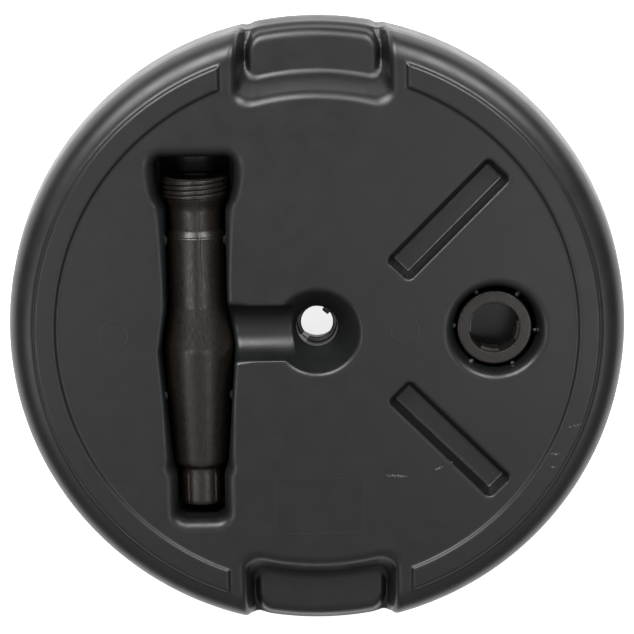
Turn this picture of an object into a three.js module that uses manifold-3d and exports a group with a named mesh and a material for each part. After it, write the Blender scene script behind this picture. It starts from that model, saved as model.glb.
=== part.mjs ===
// Fillable parasol base, lying on its hub with its underside up, as it is stored and shipped.
// The loose standpipe, clamp nut and clamp ring lie in recesses of the underside.
// Millimetres, +Z up. The origin is on the pole bore's axis, at the plane that the hub rests on.
// +X points to the nut's recess, and +Y to one of the two carrying grips.

import * as THREE from 'three';
import { mergeVertices } from 'three/addons/utils/BufferGeometryUtils.js';
import Module from 'manifold-3d';

const wasm = await Module();
wasm.setup();

// ---- driving dimensions ----

const WALL = 3; // blow-moulded wall of the tank
const GAP = 0.3; // running gap between pieces that touch

const PLANE_Z = 80; // the flat underside
const RIM_R = 250; // the widest ring, at the bottom of the side wall
const RIM_Z = 32;
const PARTING_R = 248; // where the rim's rounding meets the side wall
const PARTING_Z = 60;
const RIM_ROUND = 20;
const HUB_R = 56; // raised hub on the top face, which the base lies on
const HUB_STEP = 6;
const DOME_R = 2580; // radius of the gently domed top face
const SHOULDER_R = 205; // where the dome starts to round over to the side wall

const FOOT_IN = 208.5; // the two C-shaped feet
const FOOT_OUT = 228;
const FOOT_END_X = 73.3;
const FOOT_RISE = 2.5;

const FUNNEL_R = 33; // conical mouth of the bore, in the underside
const FUNNEL_LOW_R = 18;
const FUNNEL_DEPTH = 27;
const BORE_R = 16.4;
const LEDGE_R = 13; // ring that the standpipe's spigot stands on in use
const LEDGE_Z = [31, 34];
const SOCKET_R = 17.6; // takes the spigot from the top face
const KEY_ANGLE = 50; // degrees: a tab on the ledge, and a notch nearly opposite
const KEY_WIDTH = 6;
const CHANNEL_R = 20; // half-round finger channel from the bore to the standpipe

const PIPE_X = -96.2; // the stored standpipe's axis runs along Y
const PIPE_Z = 49;
const PIPE_WALL = 3;
const PIPE_CLEAR = 1.3; // between the pipe and its recess
const THREAD_R = 26.3;
const THREAD_ROOT_R = 24.7;
const THREAD_PITCH = 4.5;
const THREAD_TURNS = 4;
const SPIGOT_R = 16.8;
const SPIGOT_RIBS = 4;

const NUT_X = 142.6;
const NUT_POCKET_X = 143.6;
const NUT_R = 30;
const NUT_Z = [31.3, 69.5];
const NUT_LIP = 4;
const NUT_HOLE_R = 20.7;
const NUT_BORE_R = 27;
const POCKET_Z = 31; // floor of the nut's recess
const POCKET_R = 33;

const RING_R = 26; // split clamp ring inside the nut
const RING_H = 18;
const RING_JAW_R = 18.4;
const RING_TURN = -8; // degrees from +X to the first jaw

const SLOT_AT = [105.2, 89.5]; // stiffening slots, mirrored in Y, at 45 degrees
const SLOT_SIZE = [108, 17];
const SLOT_DEPTH = 15;

const GRIP_Z = 58; // floor of the two carrying grips
const GRIP_LIP_Z = 50; // the step down outside that floor

const FILLER_Y = -140;
const FILLER_SEAT_Z = 15.4; // floor of the round seat that the cap sits in
const FILLER_SEAT_R = 24.5;
const FILLER_BORE_R = 17;
const FILLER_NECK_Z = 28; // inner end of the neck
const SEAL_H = 1.4;
const CAP_R = 23.8;
const CAP_FLANGE = 3.2;
const CAP_PLUG_R = 16.2;
const CAP_PLUG_END = 27;

// ---- solids ----

// Triangles of a closed geometry, as a manifold solid. The place and turn of a mesh come with it.
function solid(geometry, matrix = new THREE.Matrix4()) {
  const bare = geometry.clone().applyMatrix4(matrix);
  bare.deleteAttribute('normal');
  bare.deleteAttribute('uv');
  const merged = mergeVertices(bare, 1e-4);
  return new wasm.Manifold(new wasm.Mesh({
    numProp: 3,
    vertProperties: new Float32Array(merged.attributes.position.array),
    triVerts: new Uint32Array(merged.index.array),
  }));
}

function geometryOf(body) {
  const mesh = body.getMesh();
  const geometry = new THREE.BufferGeometry();
  geometry.setAttribute('position', new THREE.BufferAttribute(mesh.vertProperties.slice(), 3));
  geometry.setIndex(new THREE.BufferAttribute(mesh.triVerts.slice(), 1));
  geometry.computeVertexNormals();
  return geometry;
}

// A loft through outlines of the same number of points, from the highest level to the lowest.
function loft(levels) {
  const count = levels[0].points.length;
  const position = [];
  for (const { z, points } of levels) {
    for (const [x, y] of points) {
      position.push(x, y, z);
    }
  }
  const index = [];
  for (let level = 0; level < levels.length - 1; level += 1) {
    for (let i = 0; i < count; i += 1) {
      const a = level * count + i;
      const b = level * count + ((i + 1) % count);
      index.push(a, a + count, b, b, a + count, b + count);
    }
  }
  const capAt = (level, up) => {
    const contour = levels[level].points.map(([x, y]) => new THREE.Vector2(x, y));
    for (const [a, b, c] of THREE.ShapeUtils.triangulateShape(contour, [])) {
      const corners = up ? [a, b, c] : [c, b, a];
      index.push(...corners.map((corner) => level * count + corner));
    }
  };
  capAt(0, true);
  capAt(levels.length - 1, false);
  const geometry = new THREE.BufferGeometry();
  geometry.setAttribute('position', new THREE.Float32BufferAttribute(position, 3));
  geometry.setIndex(index);
  return solid(geometry);
}

// A solid of revolution about Z, from [radius, z] points that start and end on the axis.
function turned(profile, segments) {
  const points = profile.map(([r, z]) => new THREE.Vector2(r, z));
  const geometry = new THREE.LatheGeometry(points, segments);
  return solid(geometry, new THREE.Matrix4().makeRotationX(Math.PI / 2));
}

// The same, about the standpipe's axis, from [radius, y] points that start at the threaded end.
function turnedAlongY(profile, segments) {
  const points = profile.map(([r, y]) => new THREE.Vector2(r, y)).reverse();
  const place = new THREE.Matrix4().makeTranslation(PIPE_X, 0, PIPE_Z);
  return solid(new THREE.LatheGeometry(points, segments), place);
}

function box(size, centre, turnDegrees = 0) {
  const matrix = new THREE.Matrix4().makeRotationZ(THREE.MathUtils.degToRad(turnDegrees));
  matrix.setPosition(...centre);
  return solid(new THREE.BoxGeometry(...size), matrix);
}

function ball(radius, centre) {
  const matrix = new THREE.Matrix4().makeTranslation(...centre);
  return solid(new THREE.SphereGeometry(radius, 8, 6), matrix);
}

// ---- outlines, as lists of [x, y] in anticlockwise order ----

const polar = (r, degrees) => {
  const angle = THREE.MathUtils.degToRad(degrees);
  return [r * Math.cos(angle), r * Math.sin(angle)];
};

const circle = ([cx, cy], r, count) =>
  Array.from({ length: count }, (_, i) => {
    const [x, y] = polar(r, (360 * i) / count);
    return [cx + x, cy + y];
  });

// A round-cornered rectangle, turned about its centre.
function rounded([cx, cy], [length, width], corner, turnDegrees) {
  const turn = THREE.MathUtils.degToRad(turnDegrees);
  const centres = [[1, 1], [-1, 1], [-1, -1], [1, -1]];
  return centres.flatMap(([sx, sy], quarter) =>
    [0, 30, 60, 90].map((step) => {
      const [ax, ay] = polar(corner, quarter * 90 + step);
      const x = sx * (length / 2 - corner) + ax;
      const y = sy * (width / 2 - corner) + ay;
      return [
        cx + x * Math.cos(turn) - y * Math.sin(turn),
        cy + x * Math.sin(turn) + y * Math.cos(turn),
      ];
    }));
}

// Half-widths along Y of the standpipe's recess where its wall meets the underside.
function pipeOutline(grow, endGrow = grow) {
  const side = [
    [29.5, 146 + endGrow],
    [35 + grow * 0.7, 143.7 + endGrow * 0.7],
    [37.3 + grow, 138],
    [37.3 + grow, 121.5 - grow * 0.4],
    [24.8 + grow, 104.5 - grow * 0.4],
    [24.8 + grow, 22],
    [30.3 + grow, -14.6],
    [23.6 + grow, -108],
    [23.6 + grow, -145],
    [21.3 + grow * 0.7, -150.7 - endGrow * 0.7],
    [15.5, -153 - endGrow],
  ];
  const right = side.map(([half, y]) => [PIPE_X + half, y]).reverse();
  const left = side.map(([half, y]) => [PIPE_X - half, y]);
  return [...right, ...left];
}

// A grip's outline: an arc about the bore on its inner side, open past the rim on its outer side.
function gripOutline(innerR, halfWidth, corner) {
  const steps = 8;
  const start = THREE.MathUtils.radToDeg(Math.acos((halfWidth - corner) / innerR));
  const arc = Array.from({ length: steps + 1 }, (_, i) => {
    const [x, y] = polar(innerR, 180 - start + ((2 * start - 180) * i) / steps);
    return [x, y];
  });
  const sideY = innerR * Math.sin(THREE.MathUtils.degToRad(start)) + corner;
  const outside = RIM_R + 10;
  return [
    [halfWidth, sideY],
    [halfWidth, outside],
    [-halfWidth, outside],
    [-halfWidth, sideY],
    ...arc,
  ];
}

// ---- the tank ----

const domeZ = (r) => HUB_STEP + (r * r) / (2 * DOME_R);

function tankProfile() {
  const profile = [[0, 0], [HUB_R - 2, 0], [HUB_R, 1.5], [HUB_R + 3, domeZ(HUB_R + 3)]];
  for (const r of [100, 150, SHOULDER_R]) {
    profile.push([r, domeZ(r)]);
  }
  const shoulderZ = domeZ(SHOULDER_R);
  for (const degrees of [22.5, 45, 67.5, 90]) {
    const [drop, out] = polar(1, degrees);
    profile.push([
      SHOULDER_R + (RIM_R - SHOULDER_R) * out,
      shoulderZ + (RIM_Z - shoulderZ) * (1 - drop),
    ]);
  }
  profile.push([PARTING_R + 0.8, PARTING_Z - 1.5]);
  for (const degrees of [0, 22.5, 45, 67.5, 90]) {
    const [x, y] = polar(RIM_ROUND, degrees);
    profile.push([PARTING_R - RIM_ROUND + x, PARTING_Z + y]);
  }
  profile.push([0, PLANE_Z]);
  return profile;
}

// The hollow for the ballast, one wall inside the tank's profile, before the recesses are walled off.
function hollowProfile() {
  const inset = tankProfile().slice(5, -1).map(([r, z]) => [
    r > SHOULDER_R + 1 ? r - WALL : r,
    z < PARTING_Z ? z + WALL : z - WALL,
  ]);
  return [[0, domeZ(0) + WALL], ...inset, [0, PLANE_Z - WALL]];
}

// Every recess of the tank, larger by `grow` when it walls off the hollow.
function recesses(grow) {
  const top = PLANE_Z + 5;
  const steps = grow > 0 ? 24 : 40;
  const cuts = [];

  // the standpipe's recess: straight sides down to the pipe's axis, then a trough round the pipe
  cuts.push(loft([
    { z: top, points: pipeOutline(4 + grow) },
    { z: PLANE_Z, points: pipeOutline(4 + grow) },
    { z: PLANE_Z - 1.2, points: pipeOutline(1.6 + grow) },
    { z: PLANE_Z - 4, points: pipeOutline(grow) },
    { z: PIPE_Z, points: pipeOutline(grow - 0.4) },
    { z: PIPE_Z - 6, points: pipeOutline(grow - 4, grow) },
  ]));
  const trough = pipeOuter().map(([r, y]) => [r > 0 ? r + PIPE_CLEAR + grow : 0, y]);
  trough[0][1] += 20 + grow;
  trough[1][1] += 20 + grow;
  trough[trough.length - 1][1] -= 6 + grow;
  trough[trough.length - 2][1] -= 6 + grow;
  cuts.push(turnedAlongY(trough, grow > 0 ? 20 : 32));

  // the nut's recess
  const pocket = (r) => circle([NUT_POCKET_X, 0], r + grow, steps);
  cuts.push(loft([
    { z: top, points: pocket(POCKET_R + 8) },
    { z: PLANE_Z, points: pocket(POCKET_R + 8) },
    { z: PLANE_Z - 1.5, points: pocket(POCKET_R + 4) },
    { z: PLANE_Z - 5, points: pocket(POCKET_R + 1.5) },
    { z: PLANE_Z - 10, points: pocket(POCKET_R) },
    { z: POCKET_Z - grow, points: pocket(POCKET_R - 0.8) },
  ]));

  // the funnel, the pole bore and the spigot's socket
  const round = (r) => circle([0, 0], r + grow, steps);
  cuts.push(loft([
    { z: top, points: round(FUNNEL_R + 2.5) },
    { z: PLANE_Z, points: round(FUNNEL_R + 2.5) },
    { z: PLANE_Z - 2.5, points: round(FUNNEL_R - 0.8) },
    { z: PLANE_Z - FUNNEL_DEPTH - grow, points: round(FUNNEL_LOW_R) },
  ]));
  const straight = (r, low, high) =>
    turned([[0, low], [r + grow, low], [r + grow, high], [0, high]], steps);
  cuts.push(straight(SOCKET_R, -5, LEDGE_Z[0] + grow));
  cuts.push(straight(LEDGE_R, 20, 50));
  cuts.push(straight(BORE_R, LEDGE_Z[1] - grow, 60));

  // the finger channel from the funnel to the standpipe's recess
  const across = new THREE.Matrix4().makeRotationZ(Math.PI / 2).setPosition(-44, 0, PLANE_Z);
  const length = new THREE.CylinderGeometry(CHANNEL_R + grow, CHANNEL_R + grow, 50, steps);
  cuts.push(solid(length, across));

  // the two stiffening slots
  for (const side of [1, -1]) {
    const at = [SLOT_AT[0], side * SLOT_AT[1]];
    const slot = (more) => rounded(at, [SLOT_SIZE[0] + more, SLOT_SIZE[1] + more],
      2.5 + more / 3, side * 45);
    cuts.push(loft([
      { z: top, points: slot(7 + 2 * grow) },
      { z: PLANE_Z, points: slot(7 + 2 * grow) },
      { z: PLANE_Z - 1, points: slot(4 + 2 * grow) },
      { z: PLANE_Z - SLOT_DEPTH - grow, points: slot(2 * grow) },
    ]));
  }

  // the two carrying grips, each a floor with a step down to the rim's lip outside it
  const gripLevels = [
    [top, 184.5, 64.5, 14],
    [PLANE_Z, 184.5, 64.5, 14],
    [PLANE_Z - 2, 188.5, 61, 13],
    [PLANE_Z - 7, 193, 58, 12],
    [PLANE_Z - 17, 201, 54.5, 10],
    [GRIP_Z - grow, 208, 51, 8],
  ];
  const lipLevels = [
    [GRIP_Z + 6, 236 - grow, 54, 8],
    [GRIP_Z - 1, 238 - grow, 54, 8],
    [GRIP_LIP_Z - grow, 242 - grow, 54, 8],
    [GRIP_LIP_Z - 0.5 - grow, 244.5 - grow, 54, 8],
    [GRIP_LIP_Z - 6 - grow, 253 - grow, 54, 8],
  ];
  for (const levels of [gripLevels, lipLevels]) {
    const cut = loft(levels.map(([z, innerR, halfWidth, corner]) => ({
      z,
      points: gripOutline(innerR - grow, halfWidth + grow, corner),
    })));
    cuts.push(cut, cut.rotate([0, 0, 180]));
  }

  // the seat and the bore of the filler
  const filler = turned([[0, -5], [FILLER_SEAT_R + grow, -5],
    [FILLER_SEAT_R + grow, FILLER_SEAT_Z + grow], [FILLER_BORE_R + grow, FILLER_SEAT_Z + grow],
    [FILLER_BORE_R + grow, FILLER_NECK_Z], [0, FILLER_NECK_Z]], steps);
  cuts.push(filler.translate([0, FILLER_Y, 0]));

  return cuts.reduce((sum, cut) => sum.add(cut));
}

// Two C-shaped feet that stand proud of the underside, each cut off square beside the grips.
function feet() {
  const endAngle = (r) => THREE.MathUtils.radToDeg(Math.acos(FOOT_END_X / r));
  const arc = (r, from, to) =>
    Array.from({ length: 25 }, (_, i) => polar(r, from + ((to - from) * i) / 24));
  const outline = [
    ...arc(FOOT_OUT, -endAngle(FOOT_OUT), endAngle(FOOT_OUT)),
    ...arc(FOOT_IN, endAngle(FOOT_IN), -endAngle(FOOT_IN)),
  ];
  const foot = loft([
    { z: PLANE_Z + FOOT_RISE, points: outline },
    { z: PLANE_Z - 1, points: outline },
  ]);
  return foot.add(foot.rotate([0, 0, 180]));
}

// Small bumps on the recess walls, which snap over the stored pieces.
function snapBumps() {
  const bumps = [];
  for (const [y, pipeR] of [[79, 23], [-48, 25.6]]) {
    for (const side of [1, -1]) {
      bumps.push(ball(2.4, [PIPE_X + side * (pipeR + 2.4 + GAP), y, PLANE_Z - 12]));
    }
  }
  for (let i = 0; i < 6; i += 1) {
    const [x, y] = polar(NUT_R + 2.2 + GAP, 60 * i - 2);
    bumps.push(ball(2.2, [NUT_X + x, y, PLANE_Z - 13]));
  }
  return bumps.reduce((sum, bump) => sum.add(bump));
}

function ledgeKeys() {
  const [tabX, tabY] = polar(LEDGE_R - 0.5, KEY_ANGLE);
  const [notchX, notchY] = polar(LEDGE_R, KEY_ANGLE + 180);
  const height = LEDGE_Z[1] - LEDGE_Z[0];
  const middle = (LEDGE_Z[0] + LEDGE_Z[1]) / 2;
  return {
    tab: box([5, KEY_WIDTH, height], [tabX, tabY, middle], KEY_ANGLE),
    notch: box([5, KEY_WIDTH, height + 2], [notchX, notchY, middle], KEY_ANGLE),
  };
}

function tankBody() {
  const hollow = turned(hollowProfile(), 48).subtract(recesses(WALL));
  const neckBore = box([20, 20, 10], [0, FILLER_Y, FILLER_NECK_Z + 2]);
  const { tab, notch } = ledgeKeys();
  return turned(tankProfile(), 96)
    .add(feet())
    .subtract(recesses(0))
    .add(snapBumps())
    .subtract(hollow)
    .subtract(neckBore)
    .subtract(notch)
    .add(tab);
}

// ---- the standpipe ----

// Outer profile as [radius, y], from the threaded end to the end of the spigot.
function pipeOuter() {
  return [
    [0, 125], [THREAD_R, 125], [THREAD_R, 108], [20.6, 98.5], [20.6, 83], [23, 77.5], [23, 19],
    [28.8, -14.6], [20.6, -109], [SPIGOT_R, -114], [SPIGOT_R, -145], [0, -145],
  ];
}

function standpipe() {
  const outer = pipeOuter();
  const thread = [];
  for (let turn = 0; turn < THREAD_TURNS; turn += 1) {
    const y = 125 - turn * THREAD_PITCH;
    thread.push([THREAD_ROOT_R, y], [THREAD_R, y - 1], [THREAD_R, y - 2.2]);
    thread.push([THREAD_ROOT_R, y - 3.2]);
  }
  const skin = [outer[0], ...thread, [THREAD_ROOT_R, 106.5], ...outer.slice(3)];
  const bore = outer.slice(3, -3).map(([r, y]) => [r - PIPE_WALL, y]);
  const inside = [
    [0, 127], [THREAD_ROOT_R - PIPE_WALL, 127], [THREAD_ROOT_R - PIPE_WALL, 108], ...bore,
    [SPIGOT_R - PIPE_WALL, -117], [SPIGOT_R - PIPE_WALL, -147], [0, -147],
  ];
  let pipe = turnedAlongY(skin, 48);
  for (let i = 0; i < SPIGOT_RIBS; i += 1) {
    const angle = 90 * i + 48;
    const [x, z] = polar(SPIGOT_R, angle);
    const place = new THREE.Matrix4().makeRotationY(THREE.MathUtils.degToRad(-angle));
    place.setPosition(PIPE_X + x, -131, PIPE_Z + z);
    pipe = pipe.add(solid(new THREE.BoxGeometry(1.6, 24, 3.2), place));
  }
  return pipe.subtract(turnedAlongY(inside, 48));
}

// ---- the clamp nut and its ring ----

function clampNut() {
  const [low, high] = NUT_Z;
  const lipZ = high - NUT_LIP;
  const outer = [[0, low], [NUT_R - 1, low], [NUT_R, low + 1], [NUT_R, high - 1.2],
    [NUT_R - 1.2, high], [0, high]];
  const inner = [[0, low - 1], [NUT_BORE_R + 0.8, low - 1], [NUT_BORE_R + 0.8, low + 1]];
  for (let z = low + 2; z < lipZ - RING_H - 2; z += THREAD_PITCH) {
    inner.push([NUT_BORE_R, z], [NUT_BORE_R - 0.6, z + 1], [NUT_BORE_R - 0.6, z + 2]);
    inner.push([NUT_BORE_R, z + 3]);
  }
  inner.push([NUT_BORE_R, lipZ], [NUT_HOLE_R, lipZ], [NUT_HOLE_R, high + 1], [0, high + 1]);
  return turned(outer, 48).subtract(turned(inner, 48)).translate([NUT_X, 0, 0]);
}

function clampRing() {
  const top = NUT_Z[1] - NUT_LIP - GAP;
  const bottom = top - RING_H;
  const outer = [[0, bottom], [RING_R - 3.5, bottom], [RING_R, bottom + 9], [RING_R, top],
    [0, top]];
  let ring = turned(outer, 48);
  ring = ring.subtract(turned([[0, bottom - 1], [NUT_HOLE_R, bottom - 1], [NUT_HOLE_R, top + 1],
    [0, top + 1]], 48));
  for (let i = 0; i < 4; i += 1) {
    const angle = RING_TURN + 90 * i;
    const jaw = turned([[0, bottom], [NUT_HOLE_R + 1, bottom], [NUT_HOLE_R + 1, top], [0, top]], 48)
      .subtract(turned([[0, bottom - 1], [RING_JAW_R, bottom - 1], [RING_JAW_R, top + 1],
        [0, top + 1]], 48));
    const [x, y] = polar(NUT_HOLE_R - 1, angle);
    const slice = box([8, 15, RING_H + 4], [x, y, (top + bottom) / 2], angle);
    ring = ring.add(jaw.intersect(slice));
  }
  const [gapX, gapY] = polar(RING_R - 3, RING_TURN + 45);
  const split = box([14, 2.5, RING_H + 4], [gapX, gapY, (top + bottom) / 2], RING_TURN + 45);
  return ring.subtract(split).translate([NUT_X, 0, 0]);
}

// ---- the filler cap and its seal ----

function fillerSeal() {
  const high = FILLER_SEAT_Z - GAP;
  const low = high - SEAL_H;
  const rim = (r) => [[0, low], [r, low], [r, high], [0, high]];
  const hole = [[0, low - 1], [CAP_PLUG_R + GAP, low - 1], [CAP_PLUG_R + GAP, high + 1],
    [0, high + 1]];
  return turned(rim(CAP_R - 1.5), 40).subtract(turned(hole, 40)).translate([0, FILLER_Y, 0]);
}

function fillerCap() {
  const high = FILLER_SEAT_Z - 2 * GAP - SEAL_H;
  const low = high - CAP_FLANGE;
  const blank = turned([[0, low], [CAP_R - 0.8, low], [CAP_R, low + 0.8], [CAP_R, high],
    [CAP_PLUG_R, high], [CAP_PLUG_R, CAP_PLUG_END], [0, CAP_PLUG_END]], 40);
  const dish = turned([[0, low - 1], [14.5, low - 1], [13, high + 7], [0, high + 7]], 40);
  const bar = box([27.5, 4, high + 7 - low], [0, 0, (low + high + 7) / 2]);
  const core = turned([[0, high + 9], [13.2, high + 9], [13.2, CAP_PLUG_END + 1],
    [0, CAP_PLUG_END + 1]], 40);
  return blank.subtract(dish).add(bar).subtract(core).translate([0, FILLER_Y, 0]);
}

// ---- the assembly ----

const darkShell = { color: 0x2b2d2c, roughness: 0.5, metalness: 0 };
const warmPlastic = { color: 0x2e2b28, roughness: 0.35, metalness: 0 };
const blackRubber = { color: 0x121212, roughness: 0.8, metalness: 0 };

const pieces = [
  ['tank_body', tankBody, darkShell],
  ['standpipe', standpipe, warmPlastic],
  ['clamp_nut', clampNut, warmPlastic],
  ['clamp_ring', clampRing, warmPlastic],
  ['filler_cap', fillerCap, darkShell],
  ['filler_seal', fillerSeal, blackRubber],
];

const group = new THREE.Group();
for (const [name, make, look] of pieces) {
  const mesh = new THREE.Mesh(geometryOf(make()), new THREE.MeshStandardMaterial(look));
  mesh.name = name;
  group.add(mesh);
}

export default group;
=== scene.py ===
"""Looks of the fillable parasol base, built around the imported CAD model.

Shapes are worked out in millimetres, in the frame's own axes, and written to Blender in metres.
The tank and the filler cap are surfaces of a signed-distance field, meshed on a grid that is finer
where the shape is finer. The standpipe, the clamp nut and the rings are swept profiles.
"""
import math

import bpy
import numpy as np
from mathutils import Matrix, Vector


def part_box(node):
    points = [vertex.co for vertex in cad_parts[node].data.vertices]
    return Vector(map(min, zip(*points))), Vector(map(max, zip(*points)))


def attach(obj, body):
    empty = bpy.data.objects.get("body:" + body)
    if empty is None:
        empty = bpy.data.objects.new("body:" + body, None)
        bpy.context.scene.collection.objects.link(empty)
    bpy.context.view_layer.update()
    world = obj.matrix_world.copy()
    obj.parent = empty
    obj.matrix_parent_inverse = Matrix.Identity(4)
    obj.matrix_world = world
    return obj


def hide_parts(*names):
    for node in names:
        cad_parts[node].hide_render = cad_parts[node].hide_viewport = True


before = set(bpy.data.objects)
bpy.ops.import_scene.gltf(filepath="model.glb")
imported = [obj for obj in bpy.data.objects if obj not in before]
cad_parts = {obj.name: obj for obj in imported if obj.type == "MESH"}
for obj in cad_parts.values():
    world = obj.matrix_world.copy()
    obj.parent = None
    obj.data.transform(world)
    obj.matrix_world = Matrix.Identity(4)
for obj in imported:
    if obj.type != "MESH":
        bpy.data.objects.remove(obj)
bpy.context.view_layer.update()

MM = 0.001


def box_mm(node):
    low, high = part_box(node)
    return np.array(low) / MM, np.array(high) / MM


# ---- driving sizes, in millimetres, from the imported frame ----

TANK_HIGH = box_mm("tank_body")[1]
PIPE_LOW, PIPE_HIGH = box_mm("standpipe")
NUT_LOW, NUT_HIGH = box_mm("clamp_nut")
RING_LOW, RING_HIGH = box_mm("clamp_ring")
CAP_LOW, CAP_HIGH = box_mm("filler_cap")
SEAL_LOW, SEAL_HIGH = box_mm("filler_seal")

RIM_R = TANK_HIGH[0]
FOOT_RISE = 2.5
PLANE = TANK_HIGH[2] - FOOT_RISE  # the flat underside
PIPE_X = (PIPE_LOW[0] + PIPE_HIGH[0]) / 2
PIPE_Z = (PIPE_LOW[2] + PIPE_HIGH[2]) / 2
PIPE_R = (PIPE_HIGH[0] - PIPE_LOW[0]) / 2  # at its bulge
NUT_X = (NUT_LOW[0] + NUT_HIGH[0]) / 2
NUT_R = (NUT_HIGH[0] - NUT_LOW[0]) / 2
CAP_Y = (CAP_LOW[1] + CAP_HIGH[1]) / 2
CAP_R = (CAP_HIGH[0] - CAP_LOW[0]) / 2

RIM_Z = 32.0  # the widest ring
PARTING_R = 248.0  # the mould's parting line, where the side wall meets the rim's rounding
PARTING_Z = 60.0
RIM_ROUND = 20.0
SHOULDER_R = 205.0
DOME_R = 2580.0
HUB_R = 56.0
HUB_STEP = 6.0

FOOT_IN, FOOT_OUT = 208.5, 228.3  # the two C-shaped feet
FOOT_END_X = 73.3

FUNNEL_LOW_R = 17.0
FUNNEL_DEPTH = 27.0
BORE_R = 16.4
LEDGE_R = 13.0
LEDGE_LOW, LEDGE_HIGH = 31.0, 34.0
SOCKET_R = 17.6
KEY_ANGLE = math.radians(50)
CHANNEL_R = 22.0

NUT_POCKET_X = NUT_X + 1.0
POCKET_FLOOR = 31.0
SLOT_X, SLOT_Y = 105.8, 89.7
SLOT_DEPTH = 15.0
GRIP_FLOOR = 58.0
GRIP_LIP = 47.5
FILLER_SEAT = 15.4
FILLER_SEAT_R = 24.5
FILLER_BORE_R = 17.0


# ---- distance fields: negative inside; a and b may be any two fields ----

def both(a, b, radius=0.0):
    """What is inside a and inside b, with the edge rounded over."""
    if np.ndim(radius) == 0 and radius == 0:
        return np.maximum(a, b)
    corner = np.hypot(np.maximum(a + radius, 0), np.maximum(b + radius, 0))
    return np.minimum(np.maximum(a, b), -radius) + corner


def either(a, b, radius=0.0):
    """What is inside a or inside b, with a fillet between them."""
    return -both(-a, -b, radius)


def without(a, b, radius=0.0):
    return both(a, -b, radius)


def rectangle(x, y, half_x, half_y, corner):
    across = np.abs(x) - (half_x - corner)
    along = np.abs(y) - (half_y - corner)
    outside = np.hypot(np.maximum(across, 0), np.maximum(along, 0))
    return outside + np.minimum(np.maximum(across, along), 0) - corner


def dome_z(r):
    return HUB_STEP + r * r / (2 * DOME_R)


# ---- the tank ----

def turned_body(r, z):
    """The tank before its recesses are cut: underside, rim, side wall, shoulder, dome and hub."""
    wall = r - np.interp(z, [RIM_Z, PARTING_Z, PLANE], [RIM_R, PARTING_R, PARTING_R - 1.2])
    body = both(z - PLANE, wall, RIM_ROUND)
    groove = np.hypot((z - PARTING_Z - 0.5) / 0.9, (r - PARTING_R - 0.1) / 0.9) - 1
    shoulder_h = RIM_Z - dome_z(SHOULDER_R)
    out = np.maximum(r - SHOULDER_R, 0) / (RIM_R - SHOULDER_R)
    down = np.maximum(RIM_Z - z, 0) / shoulder_h
    under = np.where(r < SHOULDER_R, dome_z(r) - z, (np.hypot(out, down) - 1) * shoulder_h)
    hub = both(both(-z, r - HUB_R, 2.0), z - 20)
    return either(both(body, under), hub, 3.0), groove


def pipe_recess_width(y):
    """Half the width of the standpipe's recess below its shoulders."""
    return np.interp(y, [-118, -110, -14.6, 22, 104], [19.6, 23.0, 30.3, 24.8, 24.8])


def pipe_recess(x, y, z):
    across = np.abs(x - PIPE_X)
    head = rectangle(x - PIPE_X, y - 122.5, 31.8, 20.0, 7.0)
    shoulder = ((across - 24.6) * 15.5 - (y - 98) * 7.2) / 17.1
    head = both(head, shoulder, 4.0)
    stem = both(across - pipe_recess_width(y), np.abs(y + 22) - 132, 8.0)
    outline = either(head, stem, 6.0)
    straight = both(outline + (PLANE - z) * 0.02, 46 - z, 3.0)
    pipe_y = [-154, -110, -14.6, 19, 98, 104, 110, 150]
    trough_r = np.interp(y, pipe_y, [18.6, 22.4, 30.0, 24.4, 24.4, 25.0, 28.0, 28.0])
    trough = np.hypot(x - PIPE_X, z - PIPE_Z) - trough_r
    return either(straight, both(trough, np.abs(y + 6) - 146, 3.0))


def pipe_recess_round(y):
    """Radius of the rounding where the recess's wall meets the underside."""
    return np.interp(y, [-140, -112, -102, -60, 45, 88, 112], [9.5, 9.0, 6.0, 3.2, 3.6, 6.5, 10.0])


def bore_and_channel(x, y, z, r):
    funnel = (r - (FUNNEL_LOW_R + (z - PLANE + FUNNEL_DEPTH) * 0.65)) * 0.838
    funnel = both(funnel, PLANE - FUNNEL_DEPTH - z, 0.5)
    channel = both(np.hypot(y, z - PLANE) - CHANNEL_R, np.abs(x + 46) - 28, 2.0)
    return funnel, channel


def bores(x, y, z, r):
    """The pole bore with its keyed ledge, and the socket for the spigot in the top face."""
    turn_x = x * math.cos(KEY_ANGLE) + y * math.sin(KEY_ANGLE)
    turn_y = y * math.cos(KEY_ANGLE) - x * math.sin(KEY_ANGLE)
    tab = both(np.abs(turn_y) - 3, LEDGE_R - 3 - turn_x, 0.6)
    notch = both(np.abs(turn_y) - 3, np.abs(turn_x + LEDGE_R) - 2.5, 0.6)
    throat = either(without(r - LEDGE_R, tab), notch)
    upper = both(r - BORE_R, LEDGE_HIGH - z, 0.8)
    lower = both(r - SOCKET_R, z - LEDGE_LOW, 0.8)
    return either(either(upper, lower), throat, 0.4)


def slot(x, y, z, side):
    """A stiffening slot at 45 degrees, with drafted walls."""
    dx, dy = x - SLOT_X, side * y - SLOT_Y
    along = (dx + dy) * math.sqrt(0.5)
    across = (dy - dx) * math.sqrt(0.5)
    outline = rectangle(along, across, 57.7, 12.5, 4.8) + (PLANE - z) * 0.28
    return both(outline, PLANE - SLOT_DEPTH - z, 1.2)


def grip(x, y, z, r, side):
    """The air of a carrying grip: a bay open past the rim, whose floor rolls over outside."""
    depth = PLANE - z
    across = np.abs(x)
    inner = ((191.4 + depth * 0.7) - r) * 1.1
    sides = (across - (61.5 - depth * 0.22)) * 0.977
    bay = both(both(inner, sides, 15.0), -side * y)
    outside = (r - 247.0) * 0.819 + (z - GRIP_LIP) * 0.574
    pad = both(outside, across - 52.5, 12.0)
    ground = both(pad, z - GRIP_FLOOR, 5.0)
    moat = both(z - 49, r - 247.0, 2.0)
    return without(bay, either(ground, moat, 3.0), 4.5)


BUMP_DEPTH = 10  # of a snap bump's middle, below the underside


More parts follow.
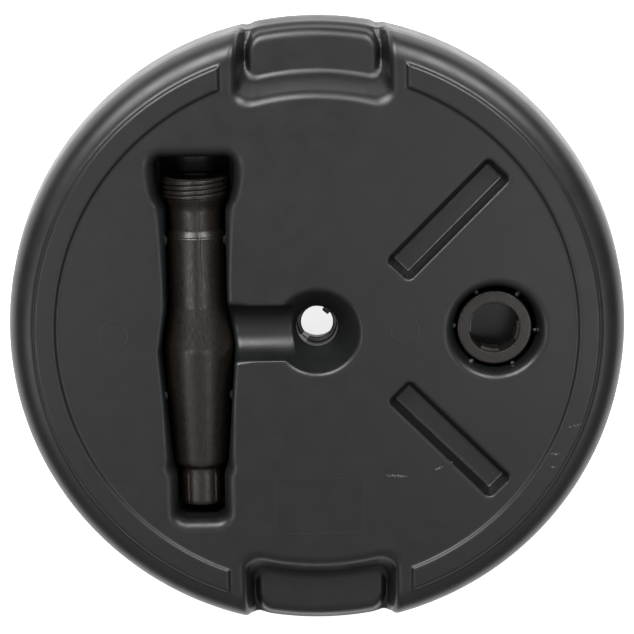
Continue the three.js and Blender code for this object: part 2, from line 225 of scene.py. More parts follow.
def snap_bumps(x, y, z):
    """Small bumps on the recess walls, which snap over the stored pieces."""
    bumps = None
    for bump_y, pipe_r in ((75.0, 22.6), (-52.0, 25.2)):
        for side in (1, -1):
            at = PIPE_X + side * (pipe_r + 1.8)
            along, above = (y - bump_y) / 1.8, z - PLANE + BUMP_DEPTH
            ball = np.sqrt((x - at) ** 2 + along ** 2 + above ** 2) - 2.3
            bumps = ball if bumps is None else np.minimum(bumps, ball)
    for i in range(6):
        angle = math.radians(60 * i - 4)
        at = NUT_X + 32.6 * math.cos(angle), 32.6 * math.sin(angle)
        ball = np.sqrt((x - at[0]) ** 2 + (y - at[1]) ** 2 + (z - PLANE + BUMP_DEPTH) ** 2) - 2.0
        bumps = np.minimum(bumps, ball)
    return bumps


def tank_field(x, y, z):
    r = np.hypot(x, y)
    body, groove = turned_body(r, z)

    foot = both(both(r - FOOT_OUT, FOOT_IN - r), FOOT_END_X - np.abs(x))
    foot = (foot + (z - PLANE) * 0.9) * 0.74
    foot = both(foot, np.abs(z - PLANE) - FOOT_RISE, 1.0)
    body = either(body, foot, 1.0)

    funnel, channel = bore_and_channel(x, y, z, r)
    body = without(body, pipe_recess(x, y, z), pipe_recess_round(y))
    body = without(body, either(funnel, channel, 1.5), np.interp(x, [-64, -52], [5.0, 2.3]))
    nut_wall = np.hypot(x - NUT_POCKET_X, y) - np.interp(z, [31, 66, PLANE], [32.2, 33.4, 36.8])
    body = without(body, both(nut_wall, POCKET_FLOOR - z, 3.0), 5.5)
    for side in (1, -1):
        body = without(body, slot(x, y, z, side), 2.0)
    grips = np.minimum(grip(x, y, z, r, 1), grip(x, y, z, r, -1))
    body = without(body, groove + np.maximum(-grips, 0) + np.maximum(3 - grips, 0) * 0.2, 0.3)
    body = without(body, grips, 5.5)
    body = without(body, bores(x, y, z, r), 1.0)
    seat = np.hypot(x, y - CAP_Y)
    filler = either(both(seat - FILLER_SEAT_R, z - FILLER_SEAT, 0.5),
                    both(seat - FILLER_BORE_R, z - 28))
    body = without(body, filler, 0.8)
    return either(body, snap_bumps(x, y, z), 0.6)


# ---- meshing ----

def steps(*spans):
    """Grid levels from (start, end, spacing) spans that follow each other."""
    levels = [np.linspace(a, b, max(2, round((b - a) / gap) + 1))[:-1] for a, b, gap in spans]
    return np.append(np.concatenate(levels), spans[-1][1])


def surface_net(field, place, axes, wrap):
    """Vertices and quads of the surface where the field is zero, on the grid of three axes.

    place maps grid coordinates to x, y, z. With wrap, the second axis closes on itself.
    """
    u, v, w = np.meshgrid(*axes, indexing="ij", sparse=True)
    value = field(*place(u, v, w)).astype(np.float32)
    if wrap:
        value = np.concatenate([value, value[:, :1]], axis=1)
        axes = [axes[0], np.append(axes[1], axes[1][0] + 2 * math.pi), axes[2]]
    inside = value < 0
    cells = tuple(n - 1 for n in value.shape)
    count = np.zeros(cells, np.int8)
    corners = [(i, j, k) for i in (0, 1) for j in (0, 1) for k in (0, 1)]
    for i, j, k in corners:
        count += inside[i:i + cells[0], j:j + cells[1], k:k + cells[2]]
    active = np.argwhere((count > 0) & (count < 8))
    number = np.full(cells, -1, np.int32)
    number[tuple(active.T)] = np.arange(len(active))

    total = np.zeros((len(active), 3))
    hits = np.zeros(len(active))
    for axis in range(3):
        for start in corners:
            if start[axis]:
                continue
            end = tuple(c + (1 if n == axis else 0) for n, c in enumerate(start))
            a = value[tuple((active + start).T)]
            b = value[tuple((active + end).T)]
            crossed = (a < 0) != (b < 0)
            share = np.where(crossed, a / np.where(crossed, a - b, 1), 0)
            for n in range(3):
                low = axes[n][active[:, n] + start[n]]
                high = axes[n][active[:, n] + end[n]]
                total[:, n] += np.where(crossed, low + (high - low) * share, 0)
            hits += crossed
    total /= hits[:, None]
    points = np.stack(np.broadcast_arrays(*place(*total.T)), axis=1)

    quads = []
    for axis in range(3):
        side_a, side_b = [n for n in range(3) if n != axis]
        ahead = [slice(None)] * 3
        ahead[axis] = slice(1, None)
        here = [slice(None)] * 3
        here[axis] = slice(None, -1)
        changed = inside[tuple(here)] != inside[tuple(ahead)]
        edge = np.argwhere(changed)
        if wrap and axis != 1:
            edge = edge[edge[:, 1] < cells[1]]
        around = []
        for da, db in ((0, 0), (-1, 0), (-1, -1), (0, -1)):
            cell = edge.copy()
            cell[:, side_a] += da
            cell[:, side_b] += db
            if wrap:
                cell[:, 1] %= cells[1]
            around.append(cell)
        kept = np.ones(len(edge), bool)
        for cell in around:
            kept &= np.all((cell >= 0) & (cell < cells), axis=1)
        quad = np.stack([number[tuple(cell[kept].T)] for cell in around], axis=1)
        flip = inside[tuple(edge[kept].T)] == (axis != 1)
        quad[flip] = quad[flip][:, ::-1]
        quads.append(quad)
    return points, np.concatenate(quads)


def settle(points, quads, field, rounds=3, reach=1.0):
    """Evens the mesh out and moves its points onto the surface."""
    small = 0.02
    for turn in range(rounds):
        if turn < rounds - 1:
            near = np.zeros_like(points)
            share = np.zeros(len(points))
            for n in range(4):
                a, b = quads[:, n], quads[:, (n + 1) % 4]
                for target, source in ((a, b), (b, a)):
                    share += np.bincount(target, minlength=len(points))
                    for c in range(3):
                        near[:, c] += np.bincount(target, points[source, c], len(points))
            points = points * 0.5 + near / share[:, None] * 0.5
        for _ in range(2):
            x, y, z = points.T
            here = field(x, y, z)
            slope = np.stack([
                field(x + small, y, z) - here,
                field(x, y + small, z) - here,
                field(x, y, z + small) - here,
            ], axis=1) / small
            length = np.maximum((slope ** 2).sum(1), 0.04)
            move = -here[:, None] * slope / length[:, None]
            far = np.linalg.norm(move, axis=1) / reach
            points = points + move / np.maximum(far, 1)[:, None]
    return points


def mesh_object(name, points, *face_groups):
    """A Blender object from points in millimetres and groups of faces with equal corner counts."""
    groups = [np.asarray(group, np.int32) for group in face_groups]
    loops = np.concatenate([group.ravel() for group in groups])
    corners = np.concatenate([np.full(len(group), group.shape[1]) for group in groups])
    mesh = bpy.data.meshes.new(name)
    mesh.vertices.add(len(points))
    mesh.vertices.foreach_set("co", (np.asarray(points) * MM).astype(np.float32).ravel())
    mesh.loops.add(len(loops))
    mesh.loops.foreach_set("vertex_index", loops)
    mesh.polygons.add(len(corners))
    mesh.polygons.foreach_set("loop_start", (np.cumsum(corners) - corners).astype(np.int32))
    mesh.update(calc_edges=True)
    mesh.validate()
    mesh.polygons.foreach_set("use_smooth", np.ones(len(mesh.polygons), bool))
    obj = bpy.data.objects.new(name, mesh)
    bpy.context.scene.collection.objects.link(obj)
    return obj


def polar_place(u, v, w):
    return u * np.cos(v), u * np.sin(v), w


FLAT_BEND = 0.006  # the largest turn between neighbouring normals that counts as flat


def thin_flats(obj, keep):
    """Decimates only where the surface is flat, so that its fillets keep every point."""
    mesh = obj.data
    normal = np.zeros(len(mesh.vertices) * 3)
    mesh.vertex_normals.foreach_get("vector", normal)
    normal = normal.reshape(-1, 3)
    edges = np.zeros(len(mesh.edges) * 2, np.int32)
    mesh.edges.foreach_get("vertices", edges)
    a, b = edges.reshape(-1, 2).T
    bend = np.linalg.norm(normal[a] - normal[b], axis=1)
    most = np.zeros(len(normal))
    for _ in range(3):
        np.maximum.at(most, a, bend)
        np.maximum.at(most, b, bend)
        bend = np.maximum(most[a], most[b])
    group = obj.vertex_groups.new(name="flat")
    flat = np.nonzero(most < FLAT_BEND)[0]
    group.add(flat.tolist(), 1.0, "REPLACE")
    share = len(flat) / len(normal)
    modifier = obj.modifiers.new("thin", "DECIMATE")
    modifier.vertex_group = group.name
    modifier.ratio = 1 - share * (1 - keep)
    apply_modifiers(obj)
    obj.vertex_groups.clear()


def apply_modifiers(obj):
    graph = bpy.context.evaluated_depsgraph_get()
    mesh = bpy.data.meshes.new_from_object(obj.evaluated_get(graph))
    obj.modifiers.clear()
    obj.data = mesh


def make_tank():
    radii = steps((8, 36, 1.3), (36, 204, 1.7), (204, 213, 0.6), (213, 224, 1.6),
                  (224, 232, 0.6), (232, 252, 1.3))
    heights = steps((-1, 18, 1.5), (18, 31, 2.2), (31, 70, 2.0), (70, 76, 1.0),
                    (76, 84, 0.6))
    turns = np.linspace(0, 2 * math.pi, 721)[:-1]
    points, quads = surface_net(tank_field, polar_place, [radii, turns, heights], True)
    points = settle(points, quads, tank_field)
    tank = mesh_object("tank_shell", points, quads)
    thin_flats(tank, 0.06)
    return tank


# ---- swept pieces ----

def soften(points, radius, count=4):
    """The polyline with each inner corner rounded; radius is one value or one for each corner."""
    points = np.asarray(points, float)
    radii = np.broadcast_to(radius, len(points) - 2)
    result = [points[0]]
    for before, here, after, size in zip(points, points[1:], points[2:], radii):
        for_in, for_out = here - before, after - here
        length_in, length_out = np.linalg.norm(for_in), np.linalg.norm(for_out)
        cut_in = min(size, length_in * 0.45) / length_in
        cut_out = min(size, length_out * 0.45) / length_out
        start, end = here - for_in * cut_in, here + for_out * cut_out
        for t in np.linspace(0, 1, count + 1):
            result.append((1 - t) ** 2 * start + 2 * t * (1 - t) * here + t * t * end)
    result.append(points[-1])
    return np.array(result)


def dense(points, gap):
    """The polyline with points no further apart than gap."""
    result = [points[0]]
    for a, b in zip(points, points[1:]):
        count = max(1, math.ceil(np.linalg.norm(b - a) / gap))
        result += [a + (b - a) * n / count for n in range(1, count + 1)]
    return np.array(result)


def swept(name, section, angles, place, shape=None, closed=True):
    """A closed section of [radius, height] points swept round an axis.

    shape(radius, height, angle) returns the changed radius. With closed False the two ends are
    capped.
    """
    radius, height = section[None, :, 0], section[None, :, 1]
    angle = np.asarray(angles)[:, None]
    radius, height, angle = np.broadcast_arrays(radius, height, angle)
    if shape:
        radius = shape(radius, height, angle)
    points = np.stack(place(radius, angle, height), axis=-1).reshape(-1, 3)
    turns, across = radius.shape
    i = np.arange(turns if closed else turns - 1)[:, None]
    j = np.arange(across)[None, :]
    here, ahead = i * across, ((i + 1) % turns) * across
    nearby = (j + 1) % across
    quads = np.stack([here + j, ahead + j, ahead + nearby, here + nearby], axis=-1)
    groups = [quads.reshape(-1, 4)]
    if not closed:
        groups.append(np.array([np.arange(across), (turns - 1) * across + j[0, ::-1]]))
    return mesh_object(name, points, *groups)


def bump_step(value, low, high):
    t = np.clip((value - low) / (high - low), 0, 1)
    return t * t * (3 - 2 * t)


def thread_rise(height, angle, start, end, pitch, starts=1):
    """From 0 to 1: how far a point is up the thread's crest, which runs out at both ends."""
    phase = ((start - height) / pitch + starts * angle / (2 * math.pi)) % 1
    crest = bump_step(0.5 - np.abs(phase - 0.5), 0.06, 0.2)
    low, high = min(start, end), max(start, end)
    return crest * bump_step(height, low, low + 1.5) * (1 - bump_step(height, high - 0.8, high))


def round_angles(count, extra=()):
    return np.sort(np.append(np.linspace(0, 2 * math.pi, count, endpoint=False), extra))


PIPE_TOP, PIPE_END = 124.0, -145.0
THREAD_ROOT, THREAD_R, THREAD_PITCH = 24.7, 26.3, 4.0
PIPE_WALL = 3.0
SPIGOT_R = 16.8
RIB_ANGLE = math.radians(48)
SEAM_ANGLE = 0.175  # the mould's parting line along the pipe, from the side that faces up


def pipe_place(radius, angle, height):
    return PIPE_X + radius * np.sin(angle), height, PIPE_Z + radius * np.cos(angle)


def pipe_shape(radius, height, angle):
    outer = radius > pipe_middle(height)
    thread = thread_rise(height, angle, PIPE_TOP - 0.4, 107.3, THREAD_PITCH, 2)
    rise = thread * (THREAD_R - THREAD_ROOT)
    on_thread = (height > 107) & outer
    turn = (angle - RIB_ANGLE + math.pi / 4) % (math.pi / 2) - math.pi / 4
    rib = 1 - bump_step(np.abs(turn) * SPIGOT_R, 1.1, 1.9)
    rib = rib * bump_step(height, -143, -141) * (1 - bump_step(height, -121, -118))
    on_spigot = (height < -114) & outer
    seam = np.abs((angle - SEAM_ANGLE + math.pi) % (2 * math.pi) - math.pi) * radius
    ridge = (1 - bump_step(seam, 0.1, 0.45)) * 0.22 * outer * (height > -108)
    grown = np.where(on_thread, rise, 0) + np.where(on_spigot, rib * 0.8, 0)
    return radius + np.where(thread > 0.2, 0, ridge) + grown


PIPE_OUTER = [
    (THREAD_ROOT, PIPE_TOP), (THREAD_ROOT, 107), (20.6, 99.5), (20.6, 82), (22.7, 76.7),
    (22.6, 76.0), (23, 75.3), (23, 18.5), (PIPE_R, -14), (21.2, -111.5), (SPIGOT_R, -114.5),
    (SPIGOT_R, PIPE_END),
]
PIPE_ROUND = [1.0, 4.0, 1.5, 0.5, 0.2, 0.5, 1.0, 3.0, 3.0, 1.6]


def pipe_middle(height):
    """Radius halfway through the pipe's wall."""
    r, y = np.array(PIPE_OUTER[::-1]).T
    return np.interp(height, y, r) - PIPE_WALL / 2


def make_standpipe():
    outer = soften(PIPE_OUTER, PIPE_ROUND)
    inner = soften([(r - PIPE_WALL, y) for r, y in PIPE_OUTER], PIPE_ROUND)
    lip = 0.9
    outer[0, 1] -= lip
    outer[-1, 1] += lip
    loop = np.concatenate([outer, [(outer[-1, 0] - lip, PIPE_END)], inner[::-1],
                           [(outer[0, 0] - lip, PIPE_TOP)]])
    threads = loop[:, 1] > 104
    ring = []
    for n, point in enumerate(loop):
        after = loop[(n + 1) % len(loop)]
        fine = 0.32 if threads[n] and point[0] > 22 and after[0] > 22 else 3.0
        ring.append(dense(np.array([point, after]), fine)[:-1])
    section = np.concatenate(ring)
    seam = [SEAM_ANGLE + offset / 23 for offset in (-0.45, -0.22, 0, 0.22, 0.45)]
    ribs = [RIB_ANGLE + math.pi / 2 * k + side * edge / SPIGOT_R
            for k in range(4) for side in (-1, 1) for edge in (1.1, 1.5, 1.9)]
    angles = round_angles(180, np.array(seam + ribs) % (2 * math.pi))
    return swept("standpipe_tube", section[::-1], angles, pipe_place, pipe_shape)


NUT_HOLE_R = 20.7
NUT_BORE_R = 27.0
NUT_LIP = 4.0


def nut_place(radius, angle, height):
    return NUT_X + radius * np.cos(angle), radius * np.sin(angle), height


def nut_shape(radius, height, angle):
    low, lip = NUT_LOW[2], NUT_HIGH[2] - NUT_LIP
    flute = bump_step(np.cos(angle * 30), 0.1, 0.8) * 0.45
    flute = flute * bump_step(height, low + 2, low + 4)
    flute = flute * (1 - bump_step(height, NUT_HIGH[2] - 9, NUT_HIGH[2] - 6))
    thread = thread_rise(height, angle, low + 3, lip - 18, THREAD_PITCH)
    outer = radius > NUT_R - 1
    bore = (radius > NUT_BORE_R - 0.5) & (radius < NUT_BORE_R + 0.5)
    return radius - np.where(outer, flute, 0) - np.where(bore, thread * 0.55, 0)


def make_nut():
    low, high = NUT_LOW[2], NUT_HIGH[2]
    corners = [
        (NUT_R - 1, low), (NUT_R, low), (NUT_R, high), (NUT_HOLE_R, high),
        (NUT_HOLE_R, high - NUT_LIP), (NUT_BORE_R, high - NUT_LIP), (NUT_BORE_R, low),
        (NUT_R - 1.4, low),
    ]
    path = soften(corners, [0.8, 1.6, 0.5, 0.4, 1.0, 0.8])
    section = dense(path, 0.7)
    return swept("clamp_nut_shell", section, round_angles(360), nut_place, nut_shape)


RING_TURN = math.radians(-10)
JAW_R = 18.4
JAW_HALF = 7.6  # half the width of a jaw, along its arc
SPLIT = 1.25  # half the gap in the ring


def ring_shape(radius, height, angle):
    turn = (angle - RING_TURN + math.pi / 4) % (math.pi / 2) - math.pi / 4
    jaw = 1 - bump_step(np.abs(turn) * JAW_R, JAW_HALF - 0.9, JAW_HALF)
    inner = radius < NUT_HOLE_R + 0.7
    return radius - np.where(inner, jaw * (NUT_HOLE_R - JAW_R), 0)


def make_clamp_ring():
    low, high, outer_r = RING_LOW[2], RING_HIGH[2], (RING_HIGH[0] - RING_LOW[0]) / 2
    corners = [(22, low), (outer_r - 3.5, low), (outer_r, low + 9), (outer_r, high),
               (NUT_HOLE_R, high), (NUT_HOLE_R, low), (22 - 0.01, low)]
    section = dense(soften(corners, 0.6), 1.2)[:-1]
    gap = SPLIT / outer_r
    start = RING_TURN + math.pi / 4 + gap
    edges = [RING_TURN + math.pi / 2 * k + side * edge / JAW_R
             for k in range(4) for side in (-1, 1) for edge in (6.7, 7.0, 7.3, 7.6)]
    whole = np.linspace(start, start + 2 * math.pi - 2 * gap, 160)
    inside = [a for a in (np.array(edges) - start) % (2 * math.pi) + start
              if start < a < start + 2 * math.pi - 2 * gap]
    angles = np.sort(np.append(whole, inside))
    return swept("clamp_ring_jaws", section, angles, nut_place, ring_shape, closed=False)


def cap_place(radius, angle, height):
    return radius * np.cos(angle), CAP_Y + radius * np.sin(angle), height


def make_seal():
    low, high = SEAL_LOW[2], SEAL_HIGH[2]
    outer_r = (SEAL_HIGH[0] - SEAL_LOW[0]) / 2
    corners = [(19, low), (outer_r, low), (outer_r, high), (16.6, high), (16.6, low), (18.9, low)]
    section = dense(soften(corners, 0.5), 1.0)
    return swept("filler_seal_ring", section, round_angles(160), cap_place)


def cap_field(x, y, z):
    """The filler cap: a flange, a threaded plug, and a dish with a bar to turn it by."""
    r = np.hypot(x, y)
    low, high = CAP_LOW[2], CAP_HIGH[2]
    flange_top = low + 3.2
    flange = both(r - CAP_R, np.maximum(low - z, z - flange_top), 0.7)
    crest = thread_rise(z, np.arctan2(y, x), flange_top + 1.5, high - 1, 3.0) * 0.5
    plug = both(r - 16.2 - crest, np.maximum(low + 1 - z, z - high), 0.6)
    body = either(flange, plug, 0.5)
    dish = both(r - 14.2 + (z - low) * 0.15, z - flange_top - 7, 1.5)
    body = without(body, dish, 0.8)
    bar = both(np.abs(y) - 1.8 - (z - low) * 0.06, np.maximum(low + 0.3 - z, z - high + 4), 0.9)
    body = either(body, np.maximum(bar, r - 14.6), 1.0)
    core = both(r - 13.2, flange_top + 9 - z, 1.0)
    return without(body, core, 0.5)


def make_cap():
    reach = CAP_R + 1
    flat = np.linspace(-reach, reach, 72)
    heights = np.linspace(CAP_LOW[2] - 0.8, CAP_HIGH[2] + 0.8, 34)
    points, quads = surface_net(cap_field, lambda u, v, w: (u, v, w), [flat, flat, heights], False)
    points = settle(points, quads, cap_field, reach=0.5)
    points[:, 1] += CAP_Y
    return mesh_object("filler_cap_moulding", points, quads)


# ---- materials ----

class Shader:
    """Builds one procedural material; each call adds a node and returns its first output."""

    def __init__(self, name):
        self.material = bpy.data.materials.new(name)
        self.material.use_nodes = True
        self.tree = self.material.node_tree
        self.bsdf = self.tree.nodes["Principled BSDF"]
        self.place = self.tree.nodes.new("ShaderNodeTexCoord").outputs["Object"]

    def add(self, kind, inputs, **settings):
        node = self.tree.nodes.new(kind)
        for key, value in settings.items():
            setattr(node, key, value)
        for key, value in inputs.items():
            self.set(node.inputs[key], value)
        return node

    def set(self, socket, value):
        if isinstance(value, bpy.types.NodeSocket):
            self.tree.links.new(value, socket)
        else:
            socket.default_value = value

    def math(self, operation, a, b=0.0, c=0.0):
        inputs = {0: a, 1: b, 2: c}
        return self.add("ShaderNodeMath", inputs, operation=operation).outputs[0]

    def noise(self, scale, detail=2.0, vector=None):
        inputs = {"Vector": vector or self.place, "Scale": scale, "Detail": detail}
        return self.add("ShaderNodeTexNoise", inputs).outputs["Fac"]

    def span(self, value, low, high, to_low=0.0, to_high=1.0):
        inputs = {"Value": value, "From Min": low, "From Max": high,
                  "To Min": to_low, "To Max": to_high}
        return self.add("ShaderNodeMapRange", inputs, clamp=True).outputs[0]

    def mix(self, factor, a, b):
        node = self.add("ShaderNodeMix", {0: factor, 6: a, 7: b}, data_type="RGBA")
        return node.outputs[2]

    def shifted(self, centre, turn=0.0, stretch=(1, 1, 1)):
        """Coordinates about a centre in millimetres, turned and stretched."""
        inputs = {"Vector": self.place, "Location": [c * MM for c in centre],
                  "Rotation": (0, 0, turn), "Scale": stretch}
        return self.add("ShaderNodeMapping", inputs, vector_type="TEXTURE").outputs[0]

    def parts(self, vector):
        return self.add("ShaderNodeSeparateXYZ", {0: vector}).outputs

    def bump(self, height, distance, strength=1.0, normal=None):
        inputs = {"Height": height, "Distance": distance, "Strength": strength}
        if normal:
            inputs["Normal"] = normal
        return self.add("ShaderNodeBump", inputs).outputs[0]

    def finish(self, colour, roughness, normal, **plain):
        self.set(self.bsdf.inputs["Base Color"], colour)
        self.set(self.bsdf.inputs["Roughness"], roughness)
        self.set(self.bsdf.inputs["Normal"], normal)
        for key, value in plain.items():
            self.bsdf.inputs[key.replace("_", " ")].default_value = value
        return self.material


def tinted(shader, colour, fine, coarse, spread):
    """A base colour that drifts a little lighter and darker over two scales."""
    dark = [c * (1 - spread) for c in colour] + [1]
    light = [c * (1 + spread) for c in colour] + [1]
    drift = shader.math("ADD", shader.noise(coarse), shader.noise(fine))
    return shader.mix(shader.span(drift, 0.7, 1.3), dark, light)


# Scuffs where the base was slid about: [x, y, length, width, turn], in millimetres and degrees.
SCUFFS = [
    (110, -108, 11, 1.2, 12), (97, -113, 9, 2.0, 20), (62, -119, 22, 2.4, -4),
    (206, -79, 14, 1.4, 14), (190, -102, 12, 2.2, -3), (189, -113, 6, 1.2, -5),
]


def scuff_mask(shader):
    total = None
    for x, y, length, width, turn in SCUFFS:
        stretch = (length / 2 * MM, width / 2 * MM, 1)
        local = shader.shifted((x, y, 0), math.radians(turn), stretch)
        along, across, _ = shader.parts(local)[:3]
        far = shader.math("ADD", shader.math("MULTIPLY", along, along),
                          shader.math("MULTIPLY", across, across))
        mask = shader.span(far, 1.0, 0.3)
        total = mask if total is None else shader.math("MAXIMUM", total, mask)
    broken = shader.span(shader.noise(900, 3), 0.5, 0.62)
    facing = shader.parts(shader.place)[2]
    on_top = shader.span(facing, (PLANE - 3) * MM, (PLANE - 1) * MM)
    return shader.math("MULTIPLY", shader.math("MULTIPLY", total, broken), on_top)


def speck_mask(shader, scale, share, size):
    cells = shader.add("ShaderNodeTexVoronoi", {"Vector": shader.place, "Scale": scale})
    chosen = shader.math("GREATER_THAN", shader.parts(cells.outputs["Color"])[0], 1 - share)
    dot = shader.span(cells.outputs["Distance"], size, size * 0.4)
    return shader.math("MULTIPLY", chosen, dot)


def mark_height(shader):
    """Faint rings of the blow pins, and the outline of a label field."""
    height = None
    for x, y in ((-162, 0), (70, 1)):
        local = shader.parts(shader.shifted((x, y, 0)))
        far = shader.math("SQRT", shader.math("ADD", shader.math("MULTIPLY", local[0], local[0]),
                                              shader.math("MULTIPLY", local[1], local[1])))
        ring = shader.span(shader.math("ABSOLUTE", shader.math("SUBTRACT", far, 11 * MM)),
                           0.9 * MM, 0.2 * MM)
        height = ring if height is None else shader.math("MAXIMUM", height, ring)
    local = shader.parts(shader.shifted((0, -144, 0)))
    out_x = shader.math("SUBTRACT", shader.math("ABSOLUTE", local[0]), 36 * MM)
    out_y = shader.math("SUBTRACT", shader.math("ABSOLUTE", local[1]), 23 * MM)
    edge = shader.math("ABSOLUTE", shader.math("SMOOTH_MAX", out_x, out_y, 3 * MM))
    label = shader.span(edge, 0.8 * MM, 0.2 * MM)
    return shader.math("MAXIMUM", height, label)


def tank_material():
    shader = Shader("tank_plastic")
    colour = tinted(shader, (0.0058, 0.0066, 0.0062), 260, 14, 0.12)
    scuffs = scuff_mask(shader)
    specks = shader.math("MAXIMUM", speck_mask(shader, 42, 0.10, 0.022),
                         speck_mask(shader, 110, 0.05, 0.03))
    pale = shader.math("MAXIMUM", shader.math("MULTIPLY", scuffs, 0.55),
                       shader.math("MULTIPLY", specks, 0.5))
    colour = shader.mix(pale, colour, (0.35, 0.35, 0.34, 1))
    rough = shader.span(shader.noise(60, 3), 0.35, 0.65, 0.34, 0.40)
    waves = shader.bump(shader.noise(22, 1), 0.6 * MM, 0.35)
    marks = shader.bump(mark_height(shader), 0.12 * MM, 0.5, waves)
    grain = shader.bump(shader.noise(1100, 2), 0.05 * MM, 0.55, marks)
    return shader.finish(colour, rough, grain, IOR=1.5)


def pipe_material():
    shader = Shader("pipe_plastic")
    colour = tinted(shader, (0.0085, 0.0064, 0.0050), 500, 40, 0.16)
    streaks = shader.add("ShaderNodeMapping", {"Vector": shader.place, "Scale": (1, 0.25, 1)})
    flakes = shader.noise(700, 3, streaks.outputs[0])
    rough = shader.span(flakes, 0.35, 0.65, 0.26, 0.40)
    waves = shader.bump(shader.noise(90, 2), 0.25 * MM, 0.4)
    grain = shader.bump(flakes, 0.06 * MM, 0.6, waves)
    return shader.finish(colour, rough, grain, IOR=1.5)


def cap_material():
    shader = Shader("cap_plastic")
    colour = tinted(shader, (0.0070, 0.0076, 0.0074), 400, 60, 0.12)
    rough = shader.span(shader.noise(300, 2), 0.35, 0.65, 0.38, 0.48)
    grain = shader.bump(shader.noise(1500, 2), 0.05 * MM, 0.5)
    return shader.finish(colour, rough, grain, IOR=1.5)


def rubber_material():
    shader = Shader("seal_rubber")
    colour = tinted(shader, (0.012, 0.012, 0.012), 600, 80, 0.15)
    rough = shader.span(shader.noise(500, 2), 0.35, 0.65, 0.65, 0.8)
    grain = shader.bump(shader.noise(2000, 2), 0.04 * MM, 0.5)
    return shader.finish(colour, rough, grain, IOR=1.5)


# ---- stage, light and camera ----

FLOOR_HALF = 4000

def make_floor():
    half = FLOOR_HALF
    points = [(-half, -half, 0), (half, -half, 0), (half, half, 0), (-half, half, 0)]
    floor = mesh_object("floor", points, [(0, 1, 2, 3)])
    shader = Shader("floor_white")
    length = shader.add("ShaderNodeVectorMath", {0: shader.place}, operation="LENGTH")
    far = length.outputs["Value"]
    # Painted pool of light: the floor is paler within 0.45 m of the middle and fades to plain by
    # 1.6 m.
    painted_light_pool = shader.span(far, 1.6, 0.45)
    plain = shader.span(shader.noise(3), 0.3, 0.7, 0.35, 0.37)
    shade = shader.math("MULTIPLY_ADD", painted_light_pool, 0.45, plain)
    tone = shader.add("ShaderNodeCombineColor", {0: shade, 1: shade, 2: shade}).outputs[0]
    shader.finish(tone, 0.9, shader.bump(shader.noise(200), 0.02 * MM, 0.1))
    # The floor glows by the same painted pool of light, brightest around the base.
    shader.bsdf.inputs["Emission Color"].default_value = (1, 1, 1, 1)
    shader.set(shader.bsdf.inputs["Emission Strength"], shader.math("MULTIPLY", painted_light_pool, 0.8))
    floor.data.materials.append(shader.material)


def area_light(name, direction, distance, size, power):
    light = bpy.data.lights.new(name, "AREA")
    light.shape = "RECTANGLE"
    light.size, light.size_y = size
    light.energy = power
    obj = bpy.data.objects.new(name, light)
    bpy.context.scene.collection.objects.link(obj)
    target = Vector((0, 0, PLANE * MM))
    toward = Vector(direction).normalized()
    obj.location = target + toward * distance
    obj.rotation_euler = toward.to_track_quat("Z", "Y").to_euler()


def make_world():
    """A dim studio whose ceiling is lighter on the side away from the softboxes."""
    world = bpy.data.worlds.new("studio")
    world.use_nodes = True
    nodes, links = world.node_tree.nodes, world.node_tree.links
    direction = nodes.new("ShaderNodeTexCoord").outputs["Generated"]
    toward = nodes.new("ShaderNodeVectorMath")
    toward.operation = "DOT_PRODUCT"
    toward.inputs[1].default_value = (0, -0.38, 0.925)
    links.new(direction, toward.inputs[0])
    ramp = nodes.new("ShaderNodeMapRange")
    ramp.interpolation_type = "SMOOTHSTEP"
    ramp.inputs["From Min"].default_value = 0.25
    ramp.inputs["From Max"].default_value = 0.95
    ramp.inputs["To Min"].default_value = 0.10
    ramp.inputs["To Max"].default_value = 0.46
    links.new(toward.outputs["Value"], ramp.inputs["Value"])
    links.new(ramp.outputs[0], nodes["Background"].inputs["Strength"])
    nodes["Background"].inputs["Color"].default_value = (1, 1, 1, 1)
    bpy.context.scene.world = world


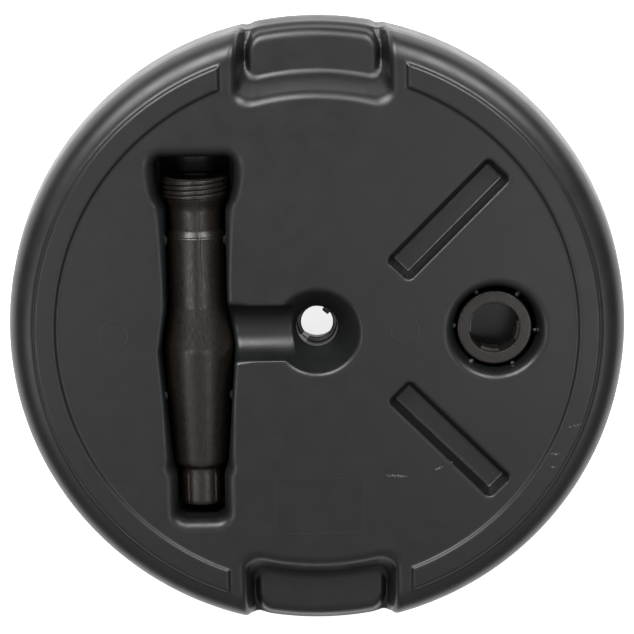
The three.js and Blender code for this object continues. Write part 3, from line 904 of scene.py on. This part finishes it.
def make_lights():
    area_light("softbox_left", (-0.36, 0.70, 0.66), 1.9, (1.25, 0.72), 44)
    area_light("softbox_right", (0.42, 0.68, 0.64), 1.9, (0.9, 0.66), 25)
    area_light("overhead_left", (-0.53, -0.2, 0.83), 2.0, (0.22, 1.2), 5)
    area_light("overhead_right", (0.40, -0.2, 0.88), 2.0, (0.18, 1.2), 4)


TILT = math.radians(11.5)  # from straight above the underside towards +Y
ROLL = math.radians(-0.9)
CAMERA_DISTANCE = 2.24
FRAME_PIXELS = 634
FOCAL_PIXELS = 2800.0
AIM_ABOVE = 15.8 / FOCAL_PIXELS  # the optical axis passes this far above the bore, in radians
SENSOR_MM = 36.0


def make_camera():
    target = Vector((0, 0, PLANE * MM))
    away = Vector((0, math.sin(TILT), math.cos(TILT)))
    right = Vector((1, 0, 0))
    up = away.cross(right)
    pitched_away = away * math.cos(AIM_ABOVE) - up * math.sin(AIM_ABOVE)
    pitched_up = up * math.cos(AIM_ABOVE) + away * math.sin(AIM_ABOVE)
    axes = Matrix((right, pitched_up, pitched_away)).transposed()
    turn = Matrix.Rotation(ROLL, 3, "Z")
    data = bpy.data.cameras.new("photo_camera")
    data.sensor_width = SENSOR_MM
    data.lens = FOCAL_PIXELS / FRAME_PIXELS * SENSOR_MM
    camera = bpy.data.objects.new("photo_camera", data)
    bpy.context.scene.collection.objects.link(camera)
    camera.matrix_world = Matrix.Translation(target + turn @ (away * CAMERA_DISTANCE)) \
        @ (turn @ axes).to_4x4()
    bpy.context.scene.camera = camera


# ---- the assembly: maker, body, CAD node, material slot, material ----

make_camera()
pipe_plastic = pipe_material()
PIECES = [
    (make_tank, "root", "tank_body", "tank_shell", tank_material()),
    (make_standpipe, "standpipe", "standpipe", "pipe_plastic", pipe_plastic),
    (make_nut, "clamp_nut", "clamp_nut", "pipe_plastic", pipe_plastic),
    (make_clamp_ring, "clamp_ring", "clamp_ring", "pipe_plastic", pipe_plastic),
    (make_cap, "filler_cap", "filler_cap", "cap_plastic", cap_material()),
    (make_seal, "filler_seal", "filler_seal", "seal_rubber", rubber_material()),
]
for make, body, node, slot_name, material in PIECES:
    piece = make()
    piece.data.materials.clear()
    piece.data.materials.append(material)
    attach(piece, body)
    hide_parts(node)

make_floor()
make_world()
make_lights()
bpy.context.scene.view_settings.view_transform = "Standard"
